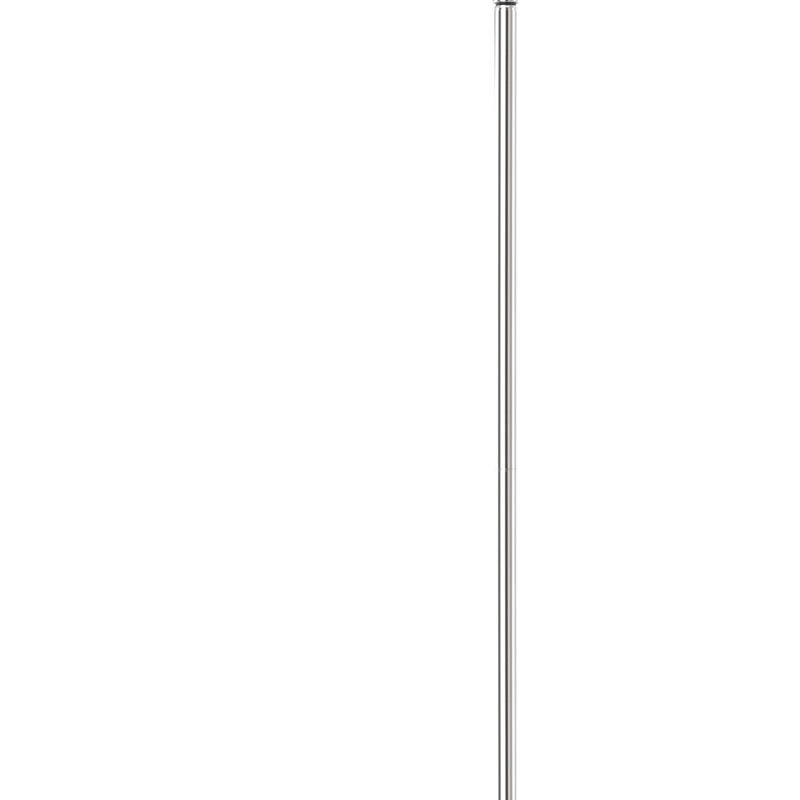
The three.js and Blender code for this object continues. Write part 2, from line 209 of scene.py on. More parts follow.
def turned(name, outline, segments=SEGMENTS, carve=None):
    """A solid of revolution about Z. The outline runs upwards on the outside.

    It starts and ends on the axis, or it is a ring's section. carve(radius, height, angle) may change a
    point's radius, for threads, knurls and hexagons.
    """
    vertices, rows = [], []
    for r, z in outline:
        if r <= TINY:
            rows.append([len(vertices)] * segments)
            vertices.append((0, 0, z))
            continue
        rows.append(range(len(vertices), len(vertices) + segments))
        for k in range(segments):
            angle = TAU * k / segments
            radius = carve(r, z, angle) if carve else r
            vertices.append((radius * math.cos(angle), radius * math.sin(angle), z))
    pairs = list(zip(rows, rows[1:]))
    if outline[0][0] > TINY:
        pairs.append((rows[-1], rows[0]))
    faces = []
    for lower, upper in pairs:
        for k in range(segments):
            n = (k + 1) % segments
            corners = [lower[k], lower[n], upper[n], upper[k]]
            face = [c for i, c in enumerate(corners) if c != corners[i - 1]]
            if len(face) > 2:
                faces.append(face)
    return mesh_from(name, vertices, faces)


def stand_for(node, mesh, finish, matrix=None):
    """Shows a mesh in place of a CAD node, on that node's body. The matrix moves it from the origin."""
    material, slot = finish
    piece = bpy.data.objects.new("fine_" + node, mesh)
    bpy.context.scene.collection.objects.link(piece)
    if matrix is not None:
        piece.matrix_world = matrix
    mesh.materials.append(material)
    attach(piece, BODY_OF[node])
    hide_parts(node)
    return piece


def show(node, outline, finish, matrix=None, **settings):
    """Shows a piece turned from an outline in place of a CAD node."""
    return stand_for(node, turned(node, outline, **settings), finish, matrix)


THREAD_SLOPE = 1.6  # how much steeper a thread's flanks are than those of a plain zigzag
THREAD_CREST = 0.3  # how far the zigzag is lowered, which leaves a flat crest


def thread(major, pitch, depth, start, end):
    """A carve function for a right-hand screw thread of the given outer radius between two heights."""

    def carve(r, z, angle):
        if abs(r - major) > TINY or not start <= z <= end:
            return r
        phase = (z / pitch - angle / TAU) % 1
        flank = min(1, max(0, THREAD_SLOPE * abs(2 * phase - 1) - THREAD_CREST))
        fade = min(1, (z - start) / pitch, (end - z) / pitch)
        return r - depth * flank * fade

    return carve


def hexagon(across_flats, radius_limit):
    """A carve function that cuts whatever is within the limit to a hexagon."""

    def carve(r, z, angle):
        if r > radius_limit:
            return r
        sector = angle % (TAU / 6) - TAU / 12
        return min(r, across_flats / 2 / math.cos(sector))

    return carve


def spring_washer(node, inner, heights, split, finish):
    """A split washer: one turn between two heights of its underside, anticlockwise from its split.

    The split is at an angle in degrees, where 0 is +X, and its cut leans.
    """
    radius = outer(node)
    steps, gap, lean = 120, math.radians(8), math.radians(5)
    start, end, thickness = heights
    section = fillet(
        [[inner, 0, 0.2], [radius, 0, 0.3], [radius, thickness, 0.3], [inner, thickness, 0.2]]
    )
    vertices, faces = [], []
    for k in range(steps + 1):
        share = k / steps
        for r, z in section:
            angle = math.radians(split) + gap / 2 + (TAU - gap) * share - lean * (z / thickness - 0.5)
            height = start + z + (end - start) * share
            vertices.append((r * math.cos(angle), r * math.sin(angle), height))
    count = len(section)
    for k in range(steps):
        for i in range(count):
            n = (i + 1) % count
            first, second = k * count, (k + 1) * count
            faces.append([first + i, second + i, second + n, first + n])
    faces.append(list(range(count)))
    faces.append([steps * count + i for i in reversed(range(count))])
    stand_for(node, mesh_from(node, vertices, faces), finish)


# -------- materials

TINTED_BELOW = 0.9  # greys of a colour ramp from here on stay neutral


class Tree:
    """A node tree, built a node at a time. A value is a socket, or a number or tuple to set."""

    def __init__(self, owner):
        owner.use_nodes = True
        self.nodes, self.links = owner.node_tree.nodes, owner.node_tree.links

    def node(self, kind, **settings):
        made = self.nodes.new("ShaderNode" + kind)
        for key, value in settings.items():
            setattr(made, key, value)
        return made

    def feed(self, value, socket):
        if isinstance(value, bpy.types.NodeSocket):
            self.links.new(value, socket)
        else:
            socket.default_value = value

    def math(self, operation, *values):
        made = self.node("Math", operation=operation)
        for value, socket in zip(values, made.inputs):
            self.feed(value, socket)
        return made.outputs["Value"]

    def vector(self, operation, *values, output="Vector"):
        made = self.node("VectorMath", operation=operation)
        for value, socket in zip(values, made.inputs):
            self.feed(value, socket)
        return made.outputs[output]

    def bearing(self, axes):
        """The direction of a point from the axis, in degrees: 0 to the camera, 90 to its right."""
        towards = self.math("MULTIPLY", axes["Y"], -1)
        return self.math("MULTIPLY", self.math("ARCTAN2", axes["X"], towards), 360 / TAU)

    def split(self, vector):
        made = self.node("SeparateXYZ")
        self.links.new(vector, made.inputs[0])
        return made.outputs

    def between(self, value, source, target):
        """The value, mapped smoothly from the source range to the target range."""
        made = self.node("MapRange", interpolation_type="SMOOTHSTEP")
        made.inputs["From Min"].default_value, made.inputs["From Max"].default_value = source
        made.inputs["To Min"].default_value, made.inputs["To Max"].default_value = target
        self.links.new(value, made.inputs["Value"])
        return made.outputs["Result"]

    def ramp(self, value, stops, tint=(1, 1, 1)):
        """The colour at a value, between rising stops (value, grey). The darker greys take the tint."""
        start, end = stops[0][0], stops[-1][0]
        made = self.node("ValToRGB")
        elements = made.color_ramp.elements
        for _ in stops[2:]:
            elements.new(0.5)
        for element, (position, grey) in zip(elements, stops):
            element.position = (position - start) / (end - start)
            shade = tint if grey < TINTED_BELOW else (1, 1, 1)
            element.color = (*(grey * part for part in shade), 1)
        share = self.math("DIVIDE", self.math("SUBTRACT", value, start), end - start)
        self.links.new(share, made.inputs["Fac"])
        return made.outputs["Color"]


class Look(Tree):
    """One Principled material."""

    def __init__(self, name, color, roughness, metallic=0.0):
        self.material = bpy.data.materials.new(name)
        super().__init__(self.material)
        self.shader = self.nodes["Principled BSDF"]
        self.shader.inputs["Base Color"].default_value = (*color, 1)
        self.shader.inputs["Roughness"].default_value = roughness
        self.shader.inputs["Metallic"].default_value = metallic

    def place(self, scale=(1, 1, 1)):
        """The point on the piece, in metres, stretched along X, Y and Z."""
        return self.vector("MULTIPLY", self.node("TexCoord").outputs["Object"], scale)

    def rings(self, radial, axial):
        """A point that depends only on the distance from the piece's Z axis and on the height."""
        distance = self.vector("LENGTH", self.place((radial, radial, 0)), output="Value")
        height = self.split(self.place((0, 0, axial)))["Z"]
        joined = self.node("CombineXYZ")
        self.links.new(distance, joined.inputs["X"])
        self.links.new(height, joined.inputs["Z"])
        return joined.outputs["Vector"]

    def noise(self, place, scale, detail=3.0, rough=0.5):
        made = self.node("TexNoise")
        made.inputs["Scale"].default_value = scale
        made.inputs["Detail"].default_value = detail
        made.inputs["Roughness"].default_value = rough
        self.links.new(place, made.inputs["Vector"])
        return made.outputs["Fac"]

    def cells(self, place, scale):
        made = self.node("TexVoronoi")
        made.inputs["Scale"].default_value = scale
        self.links.new(place, made.inputs["Vector"])
        return made.outputs["Color"]

    def blend(self, share, first, second):
        made = self.node("Mix", data_type="RGBA")
        self.links.new(share, made.inputs["Factor"])
        made.inputs["A"].default_value = (*first, 1)
        made.inputs["B"].default_value = (*second, 1)
        return made.outputs["Result"]

    def colour(self, source):
        self.links.new(source, self.shader.inputs["Base Color"])

    def rough(self, source):
        self.links.new(source, self.shader.inputs["Roughness"])

    def bump(self, height, depth):
        """Raises the surface by up to depth metres where height is 1. Bumps stack."""
        made = self.node("Bump")
        made.inputs["Strength"].default_value = 1.0
        made.inputs["Distance"].default_value = depth
        self.links.new(height, made.inputs["Height"])
        normal = self.shader.inputs["Normal"]
        if normal.links:
            self.links.new(normal.links[0].from_socket, made.inputs["Normal"])
        self.links.new(made.outputs["Normal"], normal)


CHROME_LINE_DEPTH = 2e-7


def chrome(name, radial_lines, axial_lines, wave_depth):
    """Bright chrome plate over polished steel, with shallow waves and a film of handling marks.

    Its faint polishing rings are given as lines per metre, outwards and along the axis.
    """
    look = Look(name, (0.94, 0.94, 0.945), 0.03, metallic=1.0)
    film = look.noise(look.place((1, 1, 0.6)), scale=30, detail=4)
    dull = look.between(film, (0.35, 0.7), (0, 1))
    look.colour(look.blend(dull, (0.95, 0.95, 0.955), (0.92, 0.92, 0.925)))
    specks = look.between(look.noise(look.place(), scale=900, detail=2), (0.68, 0.75), (0, 0.08))
    look.rough(look.math("ADD", look.between(film, (0.4, 0.75), (0.02, 0.07)), specks))
    lines = look.noise(look.rings(radial_lines, axial_lines), scale=1, detail=2)
    look.bump(lines, CHROME_LINE_DEPTH)
    waves = look.noise(look.place((1, 1, 0.35)), scale=90, detail=1)
    look.bump(waves, wave_depth)
    return look.material


def turned_steel():
    """Bright steel straight from the lathe, with fine tool rings."""
    look = Look("turned_steel", (0.56, 0.55, 0.54), 0.3, metallic=1.0)
    rings = look.noise(look.rings(3000, 3000), scale=1, detail=2)
    look.colour(look.blend(rings, (0.50, 0.49, 0.48), (0.64, 0.63, 0.62)))
    look.rough(look.between(rings, (0.3, 0.7), (0.22, 0.38)))
    look.bump(rings, 6e-6)
    return look.material


def zinc_steel():
    """Zinc-plated steel: slightly blue, with small crystals and dull patches."""
    look = Look("zinc_steel", (0.62, 0.65, 0.68), 0.4, metallic=1.0)
    crystals = look.cells(look.place(), scale=700)
    patches = look.noise(look.place(), scale=40)
    shade = look.between(crystals, (0, 1), (0, 1))
    look.colour(look.blend(shade, (0.56, 0.60, 0.64), (0.70, 0.72, 0.74)))
    look.rough(look.between(patches, (0.3, 0.7), (0.3, 0.5)))
    look.bump(crystals, 4e-6)
    return look.material


def black_steel():
    """Spring steel coloured near-black as painted shade, for the dark band under the finial's base;
    faintly blotched and a little worn.
    """
    look = Look("black_steel", (0.02, 0.02, 0.021), 0.4)
    blotches = look.noise(look.place(), scale=260, detail=4)
    worn = look.between(blotches, (0.4, 0.8), (0, 1))
    # The near-black colour is painted shade for the band under the finial's base; the blotches are
    # uneven tone of the steel.
    look.colour(look.blend(worn, (0.015, 0.015, 0.016), (0.05, 0.047, 0.045)))
    look.rough(look.between(blotches, (0.3, 0.7), (0.3, 0.5)))
    look.bump(look.noise(look.place(), scale=1800, detail=2), 8e-6)
    return look.material


def cast_iron():
    """A sand casting under black paint."""
    look = Look("cast_iron", (0.03, 0.03, 0.032), 0.6)
    grain = look.noise(look.place(), scale=700, detail=5, rough=0.6)
    lumps = look.noise(look.place(), scale=90, detail=2)
    shade = look.between(grain, (0.3, 0.7), (0, 1))
    look.colour(look.blend(shade, (0.018, 0.018, 0.02), (0.05, 0.05, 0.052)))
    look.rough(look.between(grain, (0.3, 0.7), (0.45, 0.75)))
    look.bump(lumps, 3e-4)
    look.bump(grain, 1.2e-4)
    return look.material


def black_rubber():
    """Moulded rubber, matt, with a fine grain and a little dust."""
    look = Look("black_rubber", (0.018, 0.018, 0.019), 0.7)
    grain = look.noise(look.place(), scale=2500, detail=3)
    dust = look.noise(look.place(), scale=120, detail=5)
    dusty = look.between(dust, (0.5, 0.8), (0, 1))
    look.colour(look.blend(dusty, (0.014, 0.014, 0.015), (0.05, 0.048, 0.046)))
    look.rough(look.between(grain, (0.3, 0.7), (0.6, 0.85)))
    look.bump(grain, 3e-5)
    return look.material


def nylon():
    """Natural off-white nylon, faintly mottled and turned to size."""
    look = Look("nylon", (0.78, 0.76, 0.70), 0.45)
    mottle = look.noise(look.place(), scale=150)
    look.colour(look.blend(mottle, (0.74, 0.72, 0.65), (0.83, 0.81, 0.76)))
    rings = look.noise(look.rings(2500, 2500), scale=1, detail=1)
    look.rough(look.between(rings, (0.3, 0.7), (0.38, 0.52)))
    look.bump(rings, 8e-6)
    return look.material


# Each finish is a material and the name of its slot.
TUBE_CHROME = (chrome("tube_chrome", 0, 1600, 2e-5), "chrome")
FITTING_CHROME = (chrome("fitting_chrome", 1600, 1600, 4e-6), "chrome")
SPUN_CHROME = (chrome("spun_chrome", 900, 900, 8e-6), "chrome")
TURNED_STEEL = (turned_steel(), "turned_steel")
ZINC_STEEL = (zinc_steel(), "zinc_steel")
# This black finish is painted shade: it darkens the washer under the finial.
SHADE_BLACK_STEEL = (black_steel(), "black_steel")
CAST_IRON = (cast_iron(), "cast_iron")
BLACK_RUBBER = (black_rubber(), "black_rubber")
NYLON = (nylon(), "nylon")


# -------- pole


def pole_tube(number):
    """A chrome tube. Its lower end is rounded off, and its upper end is nearly sharp."""
    node = f"pole_tube_{number}"
    radius = outer(node)
    outline = sleeve(radius - TUBE_WALL, radius, *span(node), (0.2, 0.6, 0.15, 0.2))
    show(node, outline, TUBE_CHROME)


def joint_ring(number):
    """The thin ring between two tubes. It fills the seam."""
    node = f"joint_ring_{number}"
    below, above = f"pole_tube_{number}", f"pole_tube_{number + 1}"
    bottom, top = high(below) + CONTACT, low(above) - CONTACT
    bore = 8.2
    outline = sleeve(bore, outer(node), bottom, top, (0.2, 0.1, 0.2, 0.2))
    show(node, outline, FITTING_CHROME)


def male_insert(number):
    """A plug in the top of a tube, with the joint's M14 stud."""
    node = f"male_insert_{number}"
    tube_end = high(f"pole_tube_{number}")
    face = tube_end - PLUG_DEPTH
    bottom, tip = span(node)
    stud, pitch, depth, chamfer = 6.9, 2.0, 1.1, 1.2
    neck, neck_top = stud - 0.9, tube_end + 1.5
    start, end = neck_top + 0.6, tip - chamfer
    corners = [
        [0, bottom, 0],
        [PLUG_RADIUS, bottom, PLUG_CORNER],
        [PLUG_RADIUS, face, 0.4],
        [neck, face, 0.3],
        [neck, neck_top, 0],
        [stud, start, 0],
    ]
    outline = fillet(corners, closed=False)
    outline += threaded_end(stud, start, end, tip, chamfer, pitch / 10)[1:]
    carve = thread(stud, pitch, depth, start, end)
    show(node, outline, TURNED_STEEL, carve=carve)


def female_insert(number):
    """A plug in the bottom of a tube, with the joint's threaded hole."""
    node = f"female_insert_{number}"
    bottom, top = low(node) + PLUG_DEPTH, high(node)
    bore, chamfer = 7.3, 1
    corners = [
        [bore, bottom + chamfer, 0],
        [bore + chamfer, bottom, 0.1],
        [PLUG_RADIUS, bottom, 0.4],
        [PLUG_RADIUS, top, PLUG_CORNER],
        [bore, top, 0.3],
    ]
    show(node, fillet(corners), TURNED_STEEL)


def pole_foot():
    """The plug that closes the lowest tube, with a flange of the tube's own size."""
    node = "pole_foot"
    bottom, top, radius = extent(node)
    flange = low("pole_tube_1") - CONTACT
    chamfer = 1.5
    corners = [
        [0, bottom, 0],
        [radius - chamfer, bottom, 0.3],
        [radius, bottom + chamfer, 0.3],
        [radius, flange, 0.2],
        [PLUG_RADIUS, flange, 0],
        [PLUG_RADIUS, top, PLUG_CORNER],
        [0, top, 0],
    ]
    show(node, fillet(corners, closed=False), TURNED_STEEL)


def thrust_pad():
    """The nylon disc that the pole stands and turns on."""
    node = "thrust_pad"
    bottom, top = low(node), low("pole_foot") - CONTACT
    radius = outer(node)
    corners = [[0, bottom, 0], [radius, bottom, 0.5], [radius, top, 0.5], [0, top, 0]]
    show(node, fillet(corners, closed=False), NYLON)


def top_plug():
    """The plug in the highest tube: a groove, a bevelled ring, and the finial's stud."""
    node = "top_plug"
    bottom, tip, radius = extent(node)
    shelf = tip - FINIAL_STUD
    ring_bottom = shelf - 2.8
    ring_side, bevel = 0.5, 1.3
    rest = high("pole_tube_4") + CONTACT
    groove = 11.8
    stud, pitch, depth, chamfer = 4.9, 1.5, 0.8, 0.9
    neck, neck_top = stud - 0.7, shelf + 1
    start, end = neck_top + 0.5, tip - chamfer
    corners = [
        [0, bottom, 0],
        [PLUG_RADIUS, bottom, PLUG_CORNER],
        [PLUG_RADIUS, rest, 0],
        [groove, rest, 0],
        [groove, ring_bottom, 0.2],
        [radius, ring_bottom, 0.2],
        [radius, ring_bottom + ring_side, 0.3],
        [radius - bevel, shelf, 0.4],
        [neck, shelf, 0.2],
        [neck, neck_top, 0],
        [stud, start, 0],
    ]
    outline = fillet(corners, closed=False)
    outline += threaded_end(stud, start, end, tip, chamfer, pitch / 10)[1:]
    carve = thread(stud, pitch, depth, start, end)
    show(node, outline, FITTING_CHROME, carve=carve)


# -------- finial


def finial_washer():
    """The washer under the finial, coloured black as painted shade for the dark band under the finial's
    base. It is split at the back, so its front rises to the right.
    """
    thickness, back = 2.0, 90
    bottom = high("top_plug") - FINIAL_STUD + CONTACT
    top = low("finial_base") - CONTACT - thickness
    heights = (bottom, top, thickness)
    # The washer's black finish paints the band of shade under the finial's base.
    spring_washer("finial_washer", FINIAL_HOLE, heights, back, SHADE_BLACK_STEEL)


def finial_base():
    """The turned base under the ball: a straight foot, a cove, a bead and a cup for the ball."""
    node = "finial_base"
    bottom = low(node)
    foot, foot_top = outer(node), bottom + 5.2
    step, cove, bead = 2.6, 5.0, 2.6
    neck, neck_top = foot - step - cove, bottom + 12.4
    bead_middle = bottom + 15.2
    socket_top = bottom + 14
    cup_radius = outer("finial_ball") + CONTACT
    cup_centre = (0, high("finial_ball") - outer("finial_ball"))
    cup_start, cup_end = angle_below(11.5, cup_radius), angle_below(BALL_STUD_HOLE, cup_radius)
    corners = [
        [FINIAL_HOLE, bottom, 0],
        [6.5, bottom, 0],
        [foot, bottom, 1.6],
        [foot, foot_top, 1.2],
        [neck + cove, foot_top, 0],
    ]
    outline = fillet(corners, closed=False)
    outline += arc_points((neck + cove, foot_top + cove), cove, 266, 180, 14)
    outline += dense((neck, bottom + 10.8), (neck, neck_top), 0.8)
    outline += arc_points((neck - 0.2, bead_middle), bead, -62, 62, 12)
    outline += [(neck - 0.1, bead_middle + bead), (neck + 0.1, bottom + 18.5)]
    cup = arc_points(cup_centre, cup_radius, cup_start, cup_end, 8)
    rim_r, rim_z = cup[0]
    outline += [(neck + 1.2, bottom + 19.4), (rim_r - 1.3, rim_z - 1.7), (rim_r - 0.3, rim_z - 0.7)]
    outline += [(rim_r + 0.15, rim_z - 0.25), *cup]
    outline += [(BALL_STUD_HOLE, socket_top), (FINIAL_HOLE, socket_top)]
    show(node, outline, FITTING_CHROME)


def finial_stud():
    """The M6 stud between the base and the ball."""
    node = "finial_stud"
    bottom, top, radius = extent(node)
    pitch, depth, chamfer = 1.0, 0.5, 0.5
    start, end = bottom + chamfer, top - chamfer
    outline = [(0, bottom), (radius - chamfer, bottom)]
    outline += threaded_end(radius, start, end, top, chamfer, pitch / 8)
    carve = thread(radius, pitch, depth, start, end)
    show(node, outline, TURNED_STEEL, segments=48, carve=carve)


def finial_ball_insert():
    """The threaded boss brazed into the ball."""
    node = "finial_ball_insert"
    outline = sleeve(BALL_STUD_HOLE, outer(node), *span(node), (0.2, 0.3, 0.6, 0.3))
    show(node, outline, TURNED_STEEL, segments=64)


def finial_ball():
    """The hollow ball, open where its boss goes in."""
    node = "finial_ball"
    radius = outer(node)
    inner = radius - 1.2
    centre = (0, high(node) - radius)
    inside = arc_points(centre, inner, 90, angle_below(BALL_HOLE, inner), 40)
    outside = arc_points(centre, radius, angle_below(BALL_HOLE, radius), 90, 64)
    outline = [(0, inside[0][1]), *inside[1:], *outside[:-1], (0, outside[-1][1])]
    show(node, outline, FITTING_CHROME)


# -------- socket


def socket_tube():
    """The heavy tube that holds the pole, with the thumb screw's hole through its wall."""
    node = "socket_tube"
    radius, bore = outer(node), 14.7
    outline = sleeve(bore, radius, *span(node), (0.3, 0.3, 0.5, 0.5))
    tube = show(node, outline, TUBE_CHROME)
    start, end = radius - 6, radius + 4
    drill = turned("drill", [(0, start), (CLAMP_HOLE, start), (CLAMP_HOLE, end), (0, end)], segments=64)
    drill.transform(along_x())
    cut(tube, drill)


def cut(piece, tool_mesh):
    """Takes a tool's volume out of a piece."""
    tool = bpy.data.objects.new("tool", tool_mesh)
    bpy.context.scene.collection.objects.link(tool)
    modifier = piece.modifiers.new("cut", "BOOLEAN")
    modifier.object = tool
    modifier.solver = "EXACT"
    graph = bpy.context.evaluated_depsgraph_get()
    mesh = bpy.data.meshes.new_from_object(piece.evaluated_get(graph))
    piece.modifiers.clear()
    piece.data = mesh
    bpy.data.objects.remove(tool)


def screw_span(node):
    """Where a piece on the thumb screw's axis starts and ends, and its radius, in millimetres."""
    box_low, box_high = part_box(node)
    return box_low.x / MM, box_high.x / MM, (box_high.y - box_low.y) / 2 / MM


def along_x():
    """The place of the thumb screw's pieces, which are built along Z and point along X."""
    box_low, box_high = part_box("clamp_screw")
    lift = Matrix.Translation((0, 0, (box_low.z + box_high.z) / 2))
    return lift @ Matrix.Rotation(math.pi / 2, 4, "Y")


def socket_plug():
    """The threaded plug in the bottom of the socket."""
    node = "socket_plug"
    bottom, top, radius = extent(node)
    bore, chamfer = 6.3, 0.7
    corners = [
        [bore, bottom, 0.3],
        [radius, bottom, 0.3],
        [radius, top, 0.6],
        [bore + chamfer, top, 0.1],
        [bore, top - chamfer, 0],
    ]
    show(node, fillet(corners), TURNED_STEEL)


def lower_bush():
    """The nylon sleeve round the pole's foot."""
    node = "socket_bush_lower"
    bottom, top, radius = extent(node)
    corners = [
        [BUSH_BORE, bottom, 0.4],
        [radius, bottom, 0.4],
        [radius, top, 0.4],
        [BUSH_BORE + 0.8, top, 0.1],
        [BUSH_BORE, top - 1.5, 0.1],
    ]
    show(node, fillet(corners), NYLON)


def upper_bush():
    """The nylon sleeve in the socket's mouth, with a flange that lies on the tube's end."""
    node = "socket_bush_upper"
    flange, radius = outer(node), 14.4
    bottom, top = low(node), high(node) + CAD_GAP - CONTACT
    seat = high("socket_tube") + CONTACT
    corners = [
        [BUSH_BORE, bottom, 0.4],
        [radius, bottom, 0.4],
        [radius, seat, 0.1],
        [flange, seat, 0.3],
        [flange, top, 0.3],
        [BUSH_BORE, top, 0.5],
    ]
    show(node, fillet(corners), NYLON)


def socket_cap():
    """The chrome cap on the socket's mouth, with two fine grooves round its skirt."""
    node = "socket_cap"
    bottom, top, radius = extent(node)
    side, mouth = radius - 0.3, 13.5
    bore = outer("socket_tube") + 0.1
    ledge = high("socket_bush_upper") + CAD_GAP
    groove = 0.5
    skirt = [[bore, bottom, 0.2], [side, bottom, 0.6]]
    for height in (bottom + 3.2, bottom + 6.2):
        skirt += [
            [side, height - groove, 0.15],
            [side - groove, height, 0.15],
            [side, height + groove, 0.15],
        ]
    rim = [
        [side, bottom + 9, 0.3],
        [radius, bottom + 9.6, 0.3],
        [radius, top, 2.6],
        [mouth, top, 0.9],
        [mouth, ledge, 0.1],
        [bore, ledge, 0.1],
    ]
    show(node, fillet(skirt + rim), FITTING_CHROME)


def socket_flange():
    """The turned flange between the base and the socket: a rounded foot, a bead and a sweep upwards."""
    node = "socket_flange"
    bottom, top = low(node) - CAD_GAP + CONTACT, high(node)
    radius = outer(node)
    bore = outer("socket_tube") + 0.08
    web = low("socket_tube") - CONTACT
    corners = [
        [TIE_HOLE, bottom, 0],
        [radius, bottom, 0.4],
        [radius, bottom + 2.6, 1.2],
        [radius - 2.6, bottom + 4.4, 0.5],
        [radius - 3.2, bottom + 4.6, 0],
    ]
    foot = fillet(corners, closed=False)
    sweep_radius, bead_radius = top - bottom - 5.6, 1.2
    sweep = arc_points((radius - 3.6, bottom + 4.8 + sweep_radius), sweep_radius, 268, 196, 16)
    bead = arc_points((bore + 1.5, top - bead_radius), bead_radius, -50, 178, 12)
    outline = [*foot, *sweep, *bead, (bore, top - 1.6), (bore, web), (TIE_HOLE, web)]
    show(node, outline, FITTING_CHROME)


def clamp_boss():
    """The boss for the thumb screw, welded to the socket's side with a smooth fillet.

    It is turned on a flat foot, and then its foot is bent round the tube.
    """
    node = "clamp_boss"
    _, end, radius = screw_span(node)
    tube, weld, edge, support, chamfer, sunk = outer("socket_tube"), 1.6, 0.8, 0.3, 0.6, 0.1
    length = end - tube
    shoulder = (radius - edge, length - edge)
    outline = [(CLAMP_HOLE, 0)]
    outline += arc_points((radius + weld, weld), weld, 270, 180, 8)
    outline += [(radius, weld + support), (radius, shoulder[1] - support)]
    outline += arc_points(shoulder, edge, 0, 90, 6)
    outline += [(shoulder[0] - support, length)]
    outline += [(CLAMP_HOLE + chamfer, length), (CLAMP_HOLE, length - chamfer)]
    mesh = turned(node, outline, segments=96)
    for vertex in mesh.vertices:
        side, rise = vertex.co.y / MM, vertex.co.z / MM
        share = 1 - rise / length
        saddle = math.sqrt(tube**2 - side**2) - tube - sunk
        vertex.co.z = (tube + rise + share * saddle) * MM
    stand_for(node, mesh, FITTING_CHROME, along_x())


# -------- thumb screw


def clamp_pad():
    """The nylon tip that presses on the pole."""
    node = "clamp_pad"
    start, end, radius = screw_span(node)
    face = end + 0.25
    corners = [[0, start, 0], [radius, start, 0.7], [radius, face, 0.3], [0, face, 0]]
    show(node, fillet(corners, closed=False), NYLON, along_x(), segments=64)


def clamp_screw():
    """The M8 screw."""
    node = "clamp_screw"
    start, end, radius = screw_span(node)
    pitch, depth, chamfer = 1.25, 0.7, 0.8
    thread_start, thread_end = start + chamfer, end - 1
    outline = [(0, start), (radius - chamfer, start)]
    outline += threaded_end(radius, thread_start, thread_end, end, 0.5, pitch / 10)
    carve = thread(radius, pitch, depth, thread_start, thread_end)
    show(node, outline, TURNED_STEEL, along_x(), segments=64, carve=carve)


def clamp_knob():
    """The knob: a collar, a knurled grip between two polished edges, and a domed end with a groove."""
    node = "clamp_knob"
    start, end, radius = screw_span(node)
    bore, seat = 4.3, screw_span("clamp_screw")[1] + CAD_GAP
    collar, collar_end = 7.5, start + 2.2
    grip_start, grip_end = start + 4.6, end - 3.6
    ridges, depth, run_out, crest_shape = 40, 0.7, 0.6, 1.5

    def knurl(r, z, angle):
        if not grip_start <= z <= grip_end or r < radius - 0.5:
            return r
        fade = min(1, (z - grip_start) / run_out, (grip_end - z) / run_out)
        return r - depth * fade * (0.5 + 0.5 * math.cos(ridges * angle)) ** crest_shape

    corners = [
        [bore, start, 0.2],
        [collar, start, 0.8],
        [collar, collar_end, 0.8],
        [radius - 1.2, start + 3, 0.9],
        [radius, start + 4, 0.3],
        [radius, grip_start, 0],
    ]
    outline = fillet(corners, closed=False)
    inset, step = 0.05, 0.3
    outline += dense((radius, grip_start + inset), (radius, grip_end - inset), step)
    corners = [
        [radius, grip_end, 0],
        [radius, end - 2.6, 0.4],
        [radius - 1.6, end - 1.4, 0.5],
        [radius - 3.4, end - 1.1, 0.2],
        [radius - 3.9, end - 1.5, 0.2],
        [radius - 4.4, end - 0.9, 0.2],
        [0, end, 0],
    ]
    outline += fillet(corners, closed=False)
    outline += [(0, seat), (bore, seat)]
    show(node, outline, FITTING_CHROME, along_x(), segments=320, carve=knurl)


# -------- base


def base_cover():
    """The spun chrome cover: a rounded rim, a step, the dome and a flat hub under the flange."""
    node = "base_cover"
    bottom, top, radius = extent(node)
    wall = 1.2
    rim_top, dome_edge = 15.5, 17
    curve = (top - dome_edge) / (1 - (HUB_RADIUS / DOME_RADIUS) ** 2) / DOME_RADIUS**2
    steps, left_out = 40, 3  # the first points are left out, so that the step runs into the dome
    radii = [DOME_RADIUS + (HUB_RADIUS - DOME_RADIUS) * k / steps for k in range(left_out, steps + 1)]
    dome = [(r, top - curve * (r**2 - HUB_RADIUS**2)) for r in radii]
    corners = [
        [radius - wall, bottom, 0.3],
        [radius, bottom, 0.5],
        [radius, rim_top, 3.5],
        [DOME_RADIUS + 2.8, rim_top, 0.5],
        [DOME_RADIUS + 1.2, 16.9, 0.8],
        [DOME_RADIUS - 1, dome_edge + 0.4, 0],
    ]
    rim = fillet(corners, closed=False)
    flat = HUB_RADIUS - 2
    hub = [(flat, top), (TIE_HOLE, top), (TIE_HOLE, top - wall), (flat, top - wall)]
    inside = [(r, z - wall) for r, z in reversed(dome)]
    inside += [(DOME_RADIUS + 2, rim_top - wall), (radius - 4, rim_top - wall), (radius - wall, 11.5)]
    outline = [*rim, *dome, *hub, *inside]
    show(node, outline, SPUN_CHROME, segments=WIDE_SEGMENTS)


def base_weight():
    """The cast-iron weight, with a recess for the tie bolt's head."""
    node = "base_weight"
    bottom, top, radius = extent(node)
    recess, recess_top = 13, 21
    corners = [
        [recess, bottom, 0.8],
        [radius, bottom, 1.5],
        [radius, bottom + 3.7, 2],
        [DOME_RADIUS + 2.5, 13.4, 1],
        [DOME_RADIUS, 14.9, 2],
        [85, 28, 0],
        [HUB_RADIUS, top, 3],
        [TIE_HOLE, top, 0.5],
        [TIE_HOLE, recess_top, 0.5],
        [recess, recess_top, 0.8],
    ]
    show(node, fillet(corners), CAST_IRON, segments=WIDE_SEGMENTS)


def bottom_plate():
    """The plate that closes the base, with a groove pressed into its underside."""
    node = "bottom_plate"
    bottom, top, radius = extent(node)
    hole, groove_top = 15, bottom + 0.8
    corners = [
        [hole, bottom, 0.4],
        [96, bottom, 1],
        [98, groove_top, 1],
        [104, groove_top, 1],
        [106, bottom, 1],
        [radius, bottom, 0.5],
        [radius, top, 0.5],
        [hole, top, 0.4],
    ]
    show(node, fillet(corners), ZINC_STEEL, segments=WIDE_SEGMENTS)


